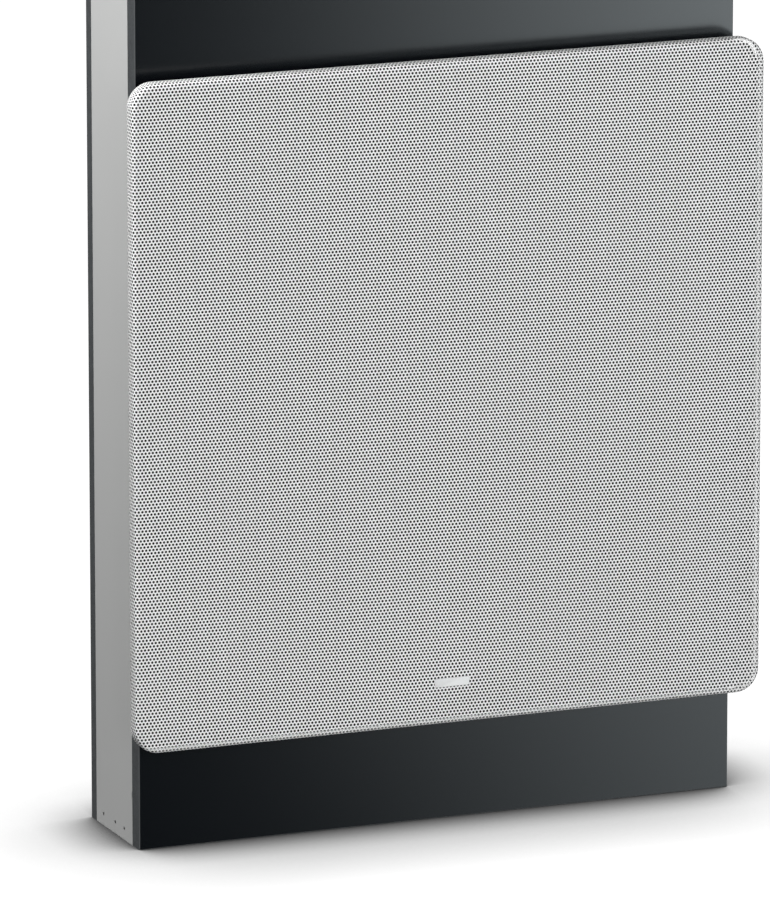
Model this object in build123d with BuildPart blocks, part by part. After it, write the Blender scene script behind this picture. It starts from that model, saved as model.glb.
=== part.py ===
# Slim in wall bass loudspeaker: closed board cabinet, woofer, bezel frame and perforated pan grille
# Frame: origin at the middle of the cabinet's underside, front towards -Y, +Z up, millimetres

import os
from math import cos, radians, sin, sqrt, tan

from build123d import *

# Cabinet
cabinet_width = 424.0
cabinet_depth = 90.0
cabinet_height = 940.0
baffle_thickness = 13.0
rear_thickness = 9.5
side_thickness = 12.0
end_thickness = 16.0
edge_ease = 0.6
brace_thickness = 12.0
brace_rim = 22.0
brace_web = 26.0
brace_gap = 12.0
chip_height = 34.0
chip_length = 6.0
chip_width = 1.2
chip_depth = 1.5

# Steel pins through the sides and the play round a screw's shank
side_pin_diameter = 2.2
side_pin_length = 30.0
side_pin_depths = (22.5, 0.5, -16.5)
screw_play = 0.1

# Grille pan
grille_size = 447.0
grille_sheet = 1.0
grille_corner = 16.5
grille_bend = 3.0
grille_depth = 10.5
grille_bottom = 72.0
hole_pitch = 43.0
hole_across = 27.0
hole_border = 8.0
scrim_thickness = 0.4
scrim_border = 4.0
badge_width = 24.5
badge_height = 5.8
badge_thickness = 0.8
badge_corner = 1.2
badge_rise = 28.5

# Bezel frame
board_gap = 15.0
pan_gap = 0.5
flange_play = 2.0
flange_thickness = 3.0
neck_inset = 13.5
neck_wall = 12.0
neck_corner = 8.0
magnet_play = 0.3
magnet_diameter = 8.0
magnet_length = 3.0
bezel_screw_shank = 3.5
bezel_screw_head = 7.5
bezel_screw_head_length = 2.5
bezel_screw_cover = 6.0
bezel_screw_bite = 10.0

# Woofer, radii and depths behind the baffle's front
flange_radius = 166.0
can_radius = 150.5
can_wall = 4.0
can_straight = 8.0
can_play = 1.0
basket_flange = 4.5
gasket_thickness = 1.5
seat_step = 2.0
seat_width = 9.0
ring_radius = 83.0
ring_inner = 58.0
ring_depth = 50.0
ring_thickness = 4.5
spider_seat = 33.0
spider_seat_width = 8.0
spoke_count = 6
spoke_width = 26.0
window_inner = 108.0
window_outer = 140.0
bolt_circle = 318.0
bolt_count = 8
driver_screw_shank = 4.5
driver_screw_head = 9.0
driver_screw_head_length = 3.0
driver_screw_bite = 12.0
surround_thickness = 0.8
roll_width = 22.0
roll_height = 10.0
roll_facets = 4
surround_land = 8.0
cone_thickness = 1.2
cone_neck_depth = 19.0
cone_play = 0.3
cap_radius = 52.0
cap_rise = 9.0
cap_thickness = 1.0
former_inner = 38.0
former_wall = 0.5
former_front = 17.0
former_back = 63.6
coil_wall = 1.5
coil_length = 20.0
spider_thickness = 0.8
magnet_gap_play = 1.0
pole_play = 1.2
top_plate_radius = 74.0
top_plate_thickness = 7.0
magnet_outer = 80.0
magnet_inner = 46.0
magnet_thickness = 15.0
yoke_radius = 76.0
yoke_thickness = 6.0
vent_radius = 10.0
strip_width = 56.0
strip_height = 36.0
strip_thickness = 1.6
strip_overlap = 6.0
tag_width = 6.3
tag_thickness = 0.8
tag_length = 16.0
tag_spacing = 40.0
lead_diameter = 2.0
lead_bend = 12.0

# Rear terminals
cup_height = 620.0
cup_width = 88.0
cup_tall = 68.0
cup_depth = 25.0
cup_wall = 2.5
cup_corner = 8.0
cup_flange = 8.0
cup_flange_thickness = 3.0
cup_play = 1.0
cup_screw_shank = 3.0
cup_screw_head = 5.6
cup_screw_head_length = 1.6
cup_screw_length = 7.5
cup_screw_inset = 4.0
brace_over_cup = 58.0
post_spacing = 38.0
post_diameter = 8.0
post_length = 19.0
post_socket = 4.1
post_socket_depth = 15.0
post_shank = 5.0
post_shank_length = 9.0
knob_across = 14.0
knob_length = 14.0
knob_play = 0.05
knob_lift = 0.3
nut_across = 8.0
nut_thickness = 4.0
wire_diameter = 3.2
wire_bend = 20.0
wire_drop = 50.0
wire_rise = 30.0
wire_overlap = 2.0
wadding_clear = 6.0
wadding_rest = 0.3

# Places that follow
front_y = -cabinet_depth / 2
rear_y = cabinet_depth / 2
inner_front = front_y + baffle_thickness
inner_rear = rear_y - rear_thickness
inner_depth = inner_rear - inner_front
inner_middle = (inner_front + inner_rear) / 2
inner_width = cabinet_width - 2 * side_thickness
middle_z = cabinet_height / 2
driver_z = grille_bottom + grille_size / 2
wall_y = front_y - board_gap
pan_back = wall_y - pan_gap
pan_front = pan_back - grille_depth
sheet_back = pan_front + grille_sheet
scrim_front = sheet_back
scrim_back = scrim_front + scrim_thickness
bezel_front = scrim_back + magnet_play
inner_grille = grille_size - 2 * grille_sheet
flange_size = inner_grille - 2 * flange_play
flange_corner = grille_corner - grille_sheet - flange_play
neck_size = grille_size - 2 * neck_inset
neck_inner = neck_size - 2 * neck_wall
neck_line = neck_size - neck_wall


def facing(y, z=0.0):
    # Sketch plane that looks along +Y from the front, X to the right and Z up
    return Plane(origin=(0, y, z), x_dir=(1, 0, 0), z_dir=(0, -1, 0))


def sideways(side):
    # Sketch plane on the outside of a side panel, Y towards the rear, Z up
    return Plane(origin=(side * cabinet_width / 2, 0, 0), x_dir=(0, side, 0), z_dir=(side, 0, 0))


def driver_plane(depth=0.0):
    # Sketch plane across the woofer, at a depth behind the baffle's front
    return facing(front_y + depth, driver_z)


profile_plane = Plane(origin=(0, front_y, driver_z), x_dir=(1, 0, 0), z_dir=(0, 0, 1))
driver_axis = Axis((0, front_y, driver_z), (0, 1, 0))

os.makedirs("parts", exist_ok=True)


def keep(piece, label):
    piece.part.label = label
    export_step(piece.part, f"parts/{label}.step")


def screws(plane, places, shank, length, head, head_length):
    # Pan head screws: shanks behind the plane, heads in front of it
    with Locations(plane):
        with Locations(*places):
            Cylinder(shank / 2, length, align=(Align.CENTER, Align.CENTER, Align.MAX))
            Cylinder(head / 2, head_length, align=(Align.CENTER, Align.CENTER, Align.MIN))


# Front baffle: board with the woofer's opening and eased front edges
opening_radius = can_radius + can_play
with BuildPart() as front_baffle:
    with BuildSketch(facing(inner_front)):
        with Locations((0, middle_z)):
            Rectangle(cabinet_width, cabinet_height)
    extrude(amount=baffle_thickness)
    chamfer(front_baffle.faces().sort_by(Axis.Y)[0].edges(), edge_ease)
    with BuildSketch(driver_plane()):
        Circle(opening_radius)
    extrude(amount=-baffle_thickness, mode=Mode.SUBTRACT)
keep(front_baffle, "front_baffle")

# Rear panel: rebated opening for the terminal cup
rear_face = Plane(origin=(0, rear_y, 0), x_dir=(-1, 0, 0), z_dir=(0, 1, 0))
with BuildPart() as rear_panel:
    with BuildSketch(facing(rear_y)):
        with Locations((0, middle_z)):
            Rectangle(cabinet_width, cabinet_height)
    extrude(amount=rear_thickness)
    with BuildSketch(rear_face):
        with Locations((0, cup_height)):
            RectangleRounded(
                cup_width + 2 * (cup_flange + cup_play),
                cup_tall + 2 * (cup_flange + cup_play),
                cup_corner + cup_play,
            )
    extrude(amount=-cup_flange_thickness, mode=Mode.SUBTRACT)
    with BuildSketch(rear_face):
        with Locations((0, cup_height)):
            RectangleRounded(cup_width + 2 * cup_play, cup_tall + 2 * cup_play, cup_corner)
    extrude(amount=-rear_thickness, mode=Mode.SUBTRACT)
keep(rear_panel, "rear_panel")

# Side panels: plain boards between the dark front and rear, with a chip on the left one
for side, name in ((-1, "side_panel_left"), (1, "side_panel_right")):
    with BuildPart() as side_panel:
        with BuildSketch(sideways(side)):
            with Locations((side * inner_middle, middle_z)):
                Rectangle(inner_depth, cabinet_height)
        extrude(amount=-side_thickness)
        if side < 0:
            with BuildSketch(sideways(side)):
                with Locations((side * inner_front, chip_height)):
                    Ellipse(chip_width, chip_length / 2)
            extrude(amount=-chip_depth, mode=Mode.SUBTRACT)
    keep(side_panel, name)

with BuildPart() as side_pins:
    for side in (-1, 1):
        with BuildSketch(sideways(side)):
            for z in (end_thickness / 2, cabinet_height - end_thickness / 2):
                with Locations(*[(side * y, z) for y in side_pin_depths]):
                    Circle(side_pin_diameter / 2)
        extrude(amount=-side_pin_length)
keep(side_pins, "side_pins")

# End panels: boards between the sides
for bottom, name in ((0.0, "bottom_panel"), (cabinet_height - end_thickness, "top_panel")):
    with BuildPart() as end_panel:
        with BuildSketch(Plane.XY.offset(bottom)):
            with Locations((0, inner_middle)):
                Rectangle(inner_width, inner_depth)
        extrude(amount=end_thickness)
    keep(end_panel, name)

# Window braces: shelves under and over the woofer and in the upper chamber
brace_levels = {
    "brace_lower": driver_z - opening_radius - brace_gap - brace_thickness,
    "brace_middle": driver_z + opening_radius + brace_gap,
    "brace_upper": cup_height + cup_tall / 2 + cup_flange + brace_over_cup,
}
brace_window = (inner_width - 2 * brace_rim - 2 * brace_web) / 3
for name, level in brace_levels.items():
    with BuildPart() as brace:
        with BuildSketch(Plane.XY.offset(level)):
            with Locations((0, inner_middle)):
                Rectangle(inner_width, inner_depth)
                with GridLocations(brace_window + brace_web, 0, 3, 1):
                    Rectangle(brace_window, inner_depth - 2 * brace_rim, mode=Mode.SUBTRACT)
        extrude(amount=brace_thickness)
    keep(brace, name)

# Bezel frame: square neck on the baffle with a flange over the plasterboard's cut edge
bezel_depth = front_y - bezel_front
screw_seat = front_y - bezel_screw_cover
half_line = neck_line / 2
magnet_places = [(-half_line, 0), (half_line, 0), (0, -half_line), (0, half_line)]
corner_places = [(x * half_line, z * half_line) for x in (-1, 1) for z in (-1, 1)]
with BuildPart() as bezel_frame:
    with BuildSketch(driver_plane()):
        RectangleRounded(neck_size, neck_size, neck_corner)
    extrude(amount=bezel_depth)
    with BuildSketch(driver_plane(wall_y - front_y)):
        RectangleRounded(flange_size, flange_size, flange_corner)
    extrude(amount=flange_thickness)
    with BuildSketch(driver_plane()):
        Rectangle(neck_inner, neck_inner)
    extrude(amount=bezel_depth, mode=Mode.SUBTRACT)
    with BuildSketch(driver_plane(bezel_front - front_y)):
        with Locations(*magnet_places):
            Circle(magnet_diameter / 2 + screw_play)
    extrude(amount=-magnet_length, mode=Mode.SUBTRACT)
    for start, radius in ((front_y, bezel_screw_shank / 2), (screw_seat, bezel_screw_head / 2)):
        with BuildSketch(driver_plane(start - front_y)):
            with Locations(*corner_places):
                Circle(radius + screw_play)
        extrude(amount=bezel_depth, mode=Mode.SUBTRACT)
keep(bezel_frame, "bezel_frame")

with BuildPart() as bezel_screws:
    screws(
        driver_plane(screw_seat - front_y), corner_places, bezel_screw_shank,
        bezel_screw_cover + bezel_screw_bite, bezel_screw_head, bezel_screw_head_length,
    )
keep(bezel_screws, "bezel_screws")

with BuildPart() as grille_magnets:
    with BuildSketch(driver_plane(bezel_front - front_y)):
        with Locations(*magnet_places):
            Circle(magnet_diameter / 2)
    extrude(amount=-magnet_length)
keep(grille_magnets, "grille_magnets")

# Grille: steel pan drawn with a round bend, hollowed from behind and pierced in staggered rows
hole_field = grille_size - 2 * (grille_bend + hole_border)
row_rise = hole_pitch * sqrt(3) / 2
hole_columns = int((hole_field - hole_across) / hole_pitch) + 1
hole_rows = int((hole_field - hole_across) / row_rise) + 1
with BuildPart() as grille:
    with BuildSketch(driver_plane(pan_back - front_y)):
        RectangleRounded(grille_size, grille_size, grille_corner)
    extrude(amount=grille_depth)
    fillet(grille.faces().sort_by(Axis.Y)[0].edges(), grille_bend)
    offset(amount=-grille_sheet, openings=grille.faces().sort_by(Axis.Y)[-1])
    with BuildSketch(driver_plane(pan_front - front_y)):
        for row in range(hole_rows):
            shift = hole_pitch / 2 if row % 2 else 0.0
            z = (row - (hole_rows - 1) / 2) * row_rise
            count = hole_columns - (row % 2)
            start = -(hole_columns - 1) / 2 * hole_pitch + shift
            with Locations(*[(start + column * hole_pitch, z) for column in range(count)]):
                RegularPolygon(hole_across / 2, 6, major_radius=False, rotation=30)
    extrude(amount=-grille_sheet, mode=Mode.SUBTRACT)
keep(grille, "grille")

with BuildPart() as grille_scrim:
    scrim_size = inner_grille - 2 * scrim_border
    with BuildSketch(driver_plane(scrim_back - front_y)):
        RectangleRounded(scrim_size, scrim_size, grille_corner - grille_sheet - scrim_border)
    extrude(amount=scrim_thickness)
keep(grille_scrim, "grille_scrim")

with BuildPart() as grille_badge:
    with BuildSketch(facing(pan_front, grille_bottom + badge_rise)):
        RectangleRounded(badge_width, badge_height, badge_corner)
    extrude(amount=badge_thickness)
keep(grille_badge, "grille_badge")

# Woofer basket: flange, can, conical wall with windows, spider seat and rear ring
flange_back = -gasket_thickness
flange_front = flange_back - basket_flange
seat_front = flange_front + seat_step
seat_outer = can_radius
seat_inner = seat_outer - seat_width
can_inner = can_radius - can_wall
ring_front = ring_depth - ring_thickness
wall_slope = (can_radius - ring_radius) / (ring_front - can_straight)


def wall_inside(depth):
    # Inner radius of the basket's conical wall at a depth
    return can_inner - (depth - can_straight) * wall_slope


spider_seat_inner = wall_inside(spider_seat) - spider_seat_width
basket_outline = [
    (flange_radius, flange_front),
    (flange_radius, flange_back),
    (can_radius, flange_back),
    (can_radius, can_straight),
    (ring_radius, ring_front),
    (ring_radius, ring_depth),
    (ring_inner, ring_depth),
    (ring_inner, ring_front),
    (wall_inside(ring_front), ring_front),
    (wall_inside(spider_seat + can_wall), spider_seat + can_wall),
    (spider_seat_inner, spider_seat + can_wall),
    (spider_seat_inner, spider_seat),
    (wall_inside(spider_seat), spider_seat),
    (can_inner, can_straight),
    (can_inner, flange_back),
    (seat_inner, flange_back),
    (seat_inner, seat_front),
    (seat_outer, seat_front),
    (seat_outer, flange_front),
]


def turned(outline):
    # Ring turned about the woofer's axis from an outline of radius and depth
    with BuildSketch(profile_plane) as section:
        with BuildLine():
            Polyline(*outline, close=True)
        make_face()
    revolve(section.sketch, axis=driver_axis)


with BuildPart() as driver_basket:
    turned(basket_outline)
    with BuildSketch(driver_plane(flange_back)):
        with PolarLocations(bolt_circle / 2, bolt_count, start_angle=180 / bolt_count):
            Circle(driver_screw_shank / 2 + screw_play)
    extrude(amount=basket_flange, mode=Mode.SUBTRACT)
    half_turn = radians(180 / spoke_count)
    half_inner = window_inner * tan(half_turn) - spoke_width / 2
    half_outer = window_outer * tan(half_turn) - spoke_width / 2
    with BuildSketch(driver_plane(ring_front)):
        with PolarLocations(0, spoke_count):
            Polygon(
                (window_inner, -half_inner),
                (window_outer, -half_outer),
                (window_outer, half_outer),
                (window_inner, half_inner),
                align=None,
            )
        Circle(can_inner, mode=Mode.INTERSECT)
    extrude(amount=ring_front - can_straight, mode=Mode.SUBTRACT)
keep(driver_basket, "driver_basket")

with BuildPart() as driver_gasket:
    with BuildSketch(driver_plane()):
        Circle(bolt_circle / 2 - driver_screw_shank / 2 - screw_play)
        Circle(opening_radius, mode=Mode.SUBTRACT)
    extrude(amount=gasket_thickness)
keep(driver_gasket, "driver_gasket")

bolt_angles = [radians((bolt + 0.5) * 360 / bolt_count) for bolt in range(bolt_count)]
bolt_places = [(bolt_circle / 2 * cos(angle), bolt_circle / 2 * sin(angle)) for angle in bolt_angles]
with BuildPart() as driver_screws:
    screws(
        driver_plane(flange_front), bolt_places, driver_screw_shank,
        driver_screw_bite - flange_front, driver_screw_head, driver_screw_head_length,
    )
keep(driver_screws, "driver_screws")

# Surround: rubber roll between the basket's seat and the cone's rim
roll_outer = seat_inner
roll_inner = roll_outer - roll_width
land_inner = roll_inner - surround_land
land_front = seat_front - surround_thickness
roll_angles = [radians(180 * step / roll_facets) for step in range(roll_facets + 1)]
roll_points = [(cos(angle), sin(angle)) for angle in roll_angles]
roll_middle = (roll_outer + roll_inner) / 2
roll_half = roll_width / 2
outer_roll = [(roll_middle + a * roll_half, land_front - b * roll_height) for a, b in roll_points]
inner_half = roll_half - surround_thickness
inner_roll = [(roll_middle + a * inner_half, seat_front - b * roll_height) for a, b in roll_points]
surround_outline = (
    [(seat_outer - cone_play, seat_front), (seat_outer - cone_play, land_front)]
    + outer_roll
    + [(land_inner, land_front), (land_inner, seat_front)]
    + inner_roll[::-1]
)
with BuildPart() as surround:
    turned(surround_outline)
keep(surround, "surround")

# Cone: rim under the surround, straight flare, neck glued to the coil former
former_outer = former_inner + former_wall
neck_radius = former_outer + cone_play
cone_outline = [
    (roll_inner - cone_play, seat_front),
    (roll_inner - cone_play, seat_front + cone_thickness),
    (land_inner, seat_front + cone_thickness),
    (neck_radius, cone_neck_depth + cone_thickness),
    (neck_radius, cone_neck_depth),
    (land_inner, seat_front),
]
with BuildPart() as cone:
    turned(cone_outline)
keep(cone, "cone")

cone_slope = (cone_neck_depth - seat_front) / (land_inner - neck_radius)
cap_depth = seat_front + (land_inner - cap_radius) * cone_slope - cone_play
cap_shoulder = cap_radius * 0.6
cap_top = cap_depth - cap_rise
with BuildPart() as dust_cap:
    turned([
        (cap_radius, cap_depth),
        (cap_shoulder, cap_top),
        (0, cap_top),
        (0, cap_top + cap_thickness),
        (cap_shoulder, cap_top + cap_thickness),
        (cap_radius - cap_thickness, cap_depth),
    ])
keep(dust_cap, "dust_cap")

# Voice coil on its former, spider and magnet system
coil_inner = former_outer
coil_outer = coil_inner + coil_wall
coil_middle = ring_depth + top_plate_thickness / 2
coil_front = coil_middle - coil_length / 2
coil_back = coil_middle + coil_length / 2


def tube(inner, outer, front, back):
    # Plain ring on the woofer's axis between two depths
    with BuildSketch(driver_plane(back)) as section:
        Circle(outer)
        Circle(inner, mode=Mode.SUBTRACT)
    extrude(section.sketch, amount=back - front)


with BuildPart() as coil_former:
    tube(former_inner, former_outer, former_front, former_back)
keep(coil_former, "coil_former")

with BuildPart() as voice_coil:
    tube(coil_inner, coil_outer, coil_front, coil_back)
keep(voice_coil, "voice_coil")

spider_outer = wall_inside(spider_seat) - cone_play
spider_inner = former_outer + cone_play
with BuildPart() as spider:
    tube(spider_inner, spider_outer, spider_seat - spider_thickness, spider_seat)
keep(spider, "spider")

plate_inner = coil_outer + magnet_gap_play
magnet_front = ring_depth + top_plate_thickness
magnet_back = magnet_front + magnet_thickness
with BuildPart() as top_plate:
    tube(plate_inner, top_plate_radius, ring_depth, magnet_front)
keep(top_plate, "top_plate")

with BuildPart() as magnet_ring:
    tube(magnet_inner, magnet_outer, magnet_front, magnet_back)
keep(magnet_ring, "magnet_ring")

pole_radius = former_inner - pole_play
with BuildPart() as yoke:
    tube(vent_radius, pole_radius, ring_depth, magnet_back)
    tube(vent_radius, yoke_radius, magnet_back, magnet_back + yoke_thickness)
keep(yoke, "yoke")

# Terminal strip on the rear ring, its two tags and the tinsel leads from the cone
strip_low = driver_z + ring_radius - strip_overlap
strip_front = front_y + ring_depth
with BuildPart() as terminal_strip:
    with BuildSketch(facing(strip_front + strip_thickness, strip_low)):
        with Locations((0, strip_height / 2)):
            Rectangle(strip_width, strip_height)
    extrude(amount=strip_thickness)
keep(terminal_strip, "terminal_strip")

tag_low = strip_low + strip_height - tag_length / 2
tag_back = strip_front + strip_thickness + tag_thickness
with BuildPart() as strip_tags:
    with BuildSketch(facing(tag_back, tag_low + tag_length / 2)):
        with GridLocations(tag_spacing, 0, 2, 1):
            Rectangle(tag_width, tag_length)
    extrude(amount=tag_thickness)
keep(strip_tags, "strip_tags")


def run_of(points, radii, diameter):
    # Round wire along straight runs joined by arcs
    with BuildLine() as route:
        FilletPolyline(*points, radius=radii)
    with BuildSketch(Plane(origin=route.line @ 0, z_dir=route.line % 0)) as section:
        Circle(diameter / 2)
    sweep(section.sketch, path=route.line)


lead_radius = 80.0
lead_start = front_y + seat_front + (land_inner - lead_radius) * cone_slope + 3 * cone_thickness
lead_out = tag_low + tag_length - 2 * lead_diameter
with BuildPart() as tinsel_leads:
    for side in (-1, 1):
        x = side * tag_spacing / 2
        lead_points = [
            (x, lead_start, driver_z + lead_radius),
            (x, lead_start + lead_bend, lead_out),
            (x, tag_back - tag_thickness, lead_out),
        ]
        run_of(lead_points, lead_bend, lead_diameter)
keep(tinsel_leads, "tinsel_leads")

# Terminal cup: flush flange, recess and floor for two binding posts
cup_floor = cup_depth + cup_flange_thickness
floor_plane = rear_face.offset(-cup_floor)
post_places = {"red": -post_spacing / 2, "black": post_spacing / 2}
cup_screw_x = cup_width / 2 + cup_screw_inset
cup_screw_z = cup_tall / 2 + cup_screw_inset
cup_screws = [(x * cup_screw_x, cup_height + z * cup_screw_z) for x in (-1, 1) for z in (-1, 1)]
with BuildPart() as terminal_cup:
    with BuildSketch(rear_face):
        with Locations((0, cup_height)):
            RectangleRounded(cup_width + 2 * cup_flange, cup_tall + 2 * cup_flange, cup_corner)
    extrude(amount=-cup_flange_thickness)
    with BuildSketch(rear_face):
        with Locations((0, cup_height)):
            RectangleRounded(cup_width, cup_tall, cup_corner - cup_play)
    extrude(amount=-cup_floor)
    with BuildSketch(rear_face):
        with Locations((0, cup_height)):
            RectangleRounded(
                cup_width - 2 * cup_wall, cup_tall - 2 * cup_wall, cup_corner - cup_play - cup_wall
            )
    extrude(amount=-(cup_floor - cup_wall), mode=Mode.SUBTRACT)
    with BuildSketch(rear_face):
        with Locations(*[(x, cup_height) for x in post_places.values()]):
            Circle(post_shank / 2 + screw_play)
    extrude(amount=-cup_floor, mode=Mode.SUBTRACT)
    for radius, depth in (
        (cup_screw_shank / 2, cup_flange_thickness),
        (cup_screw_head / 2, cup_screw_head_length),
    ):
        with BuildSketch(rear_face):
            with Locations(*cup_screws):
                Circle(radius + screw_play)
        extrude(amount=-depth, mode=Mode.SUBTRACT)
keep(terminal_cup, "terminal_cup")

with BuildPart() as terminal_screws:
    screws(
        rear_face.offset(-cup_screw_head_length), cup_screws, cup_screw_shank,
        cup_screw_length, cup_screw_head, cup_screw_head_length,
    )
keep(terminal_screws, "terminal_screws")

# Binding posts: brass stud with a plug socket, and a six sided knob that turns on it
post_seat = rear_face.offset(-(cup_floor - cup_wall))
for colour, x in post_places.items():
    with BuildPart() as post:
        with BuildSketch(post_seat):
            with Locations((x, cup_height)):
                Circle(post_diameter / 2)
        extrude(amount=post_length)
        with BuildSketch(post_seat):
            with Locations((x, cup_height)):
                Circle(post_shank / 2)
        extrude(amount=-post_shank_length)
        with BuildSketch(post_seat.offset(post_length)):
            with Locations((x, cup_height)):
                Circle(post_socket / 2)
        extrude(amount=-post_socket_depth, mode=Mode.SUBTRACT)
    keep(post, f"post_{colour}")

    with BuildPart() as knob:
        with BuildSketch(post_seat.offset(knob_lift)):
            with Locations((x, cup_height)):
                RegularPolygon(knob_across / 2, 6, major_radius=False)
                Circle(post_diameter / 2 + knob_play, mode=Mode.SUBTRACT)
        extrude(amount=knob_length)
    keep(knob, f"knob_{colour}")

with BuildPart() as post_nuts:
    with BuildSketch(floor_plane):
        with Locations(*[(x, cup_height) for x in post_places.values()]):
            RegularPolygon(nut_across / 2, 6, major_radius=False)
            Circle(post_shank / 2 + screw_play, mode=Mode.SUBTRACT)
    extrude(amount=-nut_thickness)
keep(post_nuts, "post_nuts")

# Wires inside the box, from the posts' shanks to the strip's tags
wire_top_y = rear_y - cup_floor + cup_wall - post_shank_length - wire_diameter / 2
wire_low_y = tag_back + wire_diameter / 2
for colour, x in post_places.items():
    tag_x = -tag_spacing / 2 if x > 0 else tag_spacing / 2
    with BuildPart() as wire:
        wire_points = [
            (-x, wire_top_y, cup_height + post_shank / 2),
            (-x, wire_top_y, cup_height - wire_drop),
            (tag_x, wire_low_y, tag_low + tag_length + wire_rise),
            (tag_x, wire_low_y, tag_low + wire_overlap),
        ]
        run_of(wire_points, wire_bend, wire_diameter)
    keep(wire, f"wire_{colour}")

# Wadding: soft block in the upper chamber
wadding_low = brace_levels["brace_upper"] + brace_thickness + wadding_rest
wadding_high = cabinet_height - end_thickness - wadding_clear
with BuildPart() as wadding:
    with BuildSketch(Plane.XY.offset(wadding_low)):
        with Locations((0, inner_middle)):
            Rectangle(inner_width - 2 * wadding_clear, inner_depth - 2 * wadding_clear)
    extrude(amount=wadding_high - wadding_low)
    chamfer(wadding.edges().filter_by(Axis.Z), wadding_clear)
keep(wadding, "wadding")
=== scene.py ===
import math
import bmesh
import bpy
import numpy as np
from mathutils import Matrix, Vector, noise


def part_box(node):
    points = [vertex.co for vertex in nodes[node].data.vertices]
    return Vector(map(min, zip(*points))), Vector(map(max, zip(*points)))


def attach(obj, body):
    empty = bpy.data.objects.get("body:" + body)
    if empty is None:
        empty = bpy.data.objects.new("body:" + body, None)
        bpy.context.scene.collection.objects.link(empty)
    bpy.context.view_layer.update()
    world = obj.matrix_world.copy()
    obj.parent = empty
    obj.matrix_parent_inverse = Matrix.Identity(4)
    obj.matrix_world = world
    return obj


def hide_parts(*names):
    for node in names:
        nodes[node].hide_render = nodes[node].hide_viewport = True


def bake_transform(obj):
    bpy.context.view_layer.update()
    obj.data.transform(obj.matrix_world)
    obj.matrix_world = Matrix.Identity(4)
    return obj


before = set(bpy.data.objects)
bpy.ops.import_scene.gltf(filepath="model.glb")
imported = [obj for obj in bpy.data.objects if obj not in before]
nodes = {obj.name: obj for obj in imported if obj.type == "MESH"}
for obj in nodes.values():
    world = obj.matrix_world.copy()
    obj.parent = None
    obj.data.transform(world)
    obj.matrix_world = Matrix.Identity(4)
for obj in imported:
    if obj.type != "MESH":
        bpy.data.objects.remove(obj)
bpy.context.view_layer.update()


# Helpers for meshes
def makeObject(name, verts, faces, material, smooth=False):
    mesh = bpy.data.meshes.new(name)
    mesh.from_pydata([tuple(v) for v in verts], [], [tuple(f) for f in faces])
    mesh.update()
    obj = bpy.data.objects.new(name, mesh)
    bpy.context.scene.collection.objects.link(obj)
    mesh.materials.append(material)
    for poly in mesh.polygons:
        poly.use_smooth = smooth
    return obj


def fromBmesh(name, bm, material, smooth=False):
    bmesh.ops.recalc_face_normals(bm, faces=bm.faces)
    mesh = bpy.data.meshes.new(name)
    bm.to_mesh(mesh)
    bm.free()
    obj = bpy.data.objects.new(name, mesh)
    bpy.context.scene.collection.objects.link(obj)
    mesh.materials.append(material)
    for poly in mesh.polygons:
        poly.use_smooth = smooth
    return obj


def nodeSize(name):
    low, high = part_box(name)
    return Vector(low), Vector(high)


def settle(obj, body, slotName, *cadNodes):
    if cadNodes:
        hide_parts(*cadNodes)
    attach(obj, body)


def flexing(obj, node):
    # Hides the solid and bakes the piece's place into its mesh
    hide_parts(node)
    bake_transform(obj)


# Shader building blocks
def newGroup(name, outputs, inputs=()):
    group = bpy.data.node_groups.new(name, "ShaderNodeTree")
    for label, kind, value in inputs:
        socket = group.interface.new_socket(label, in_out="INPUT", socket_type=kind)
        socket.default_value = value
    for label, kind in outputs:
        group.interface.new_socket(label, in_out="OUTPUT", socket_type=kind)
    return group, group.nodes.new("NodeGroupInput"), group.nodes.new("NodeGroupOutput")


def speckleGroup():
    # Fine dark and pale flecks of sawn fibre board
    group, gin, gout = newGroup(
        "FibreSpeckle",
        [("Mask", "NodeSocketFloat"), ("Height", "NodeSocketFloat")],
        [("Scale", "NodeSocketFloat", 1.0)],
    )
    n, l = group.nodes, group.links
    coord = n.new("ShaderNodeTexCoord")
    scale = n.new("ShaderNodeVectorMath")
    scale.operation = "SCALE"
    fine = n.new("ShaderNodeTexNoise")
    fine.inputs["Scale"].default_value = 900.0  # about 1 mm flecks
    fine.inputs["Detail"].default_value = 4.0
    coarse = n.new("ShaderNodeTexNoise")
    coarse.inputs["Scale"].default_value = 160.0
    mix = n.new("ShaderNodeMath")
    mix.operation = "MULTIPLY_ADD"
    mix.inputs[1].default_value = 0.65
    rest = n.new("ShaderNodeMath")
    rest.operation = "MULTIPLY"
    rest.inputs[1].default_value = 0.35
    l.new(coord.outputs["Object"], scale.inputs[0])
    l.new(gin.outputs["Scale"], scale.inputs["Scale"])
    l.new(scale.outputs["Vector"], fine.inputs["Vector"])
    l.new(scale.outputs["Vector"], coarse.inputs["Vector"])
    l.new(coarse.outputs["Fac"], rest.inputs[0])
    l.new(fine.outputs["Fac"], mix.inputs[0])
    l.new(rest.outputs["Value"], mix.inputs[2])
    l.new(mix.outputs["Value"], gout.inputs["Mask"])
    l.new(fine.outputs["Fac"], gout.inputs["Height"])
    return group


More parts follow.
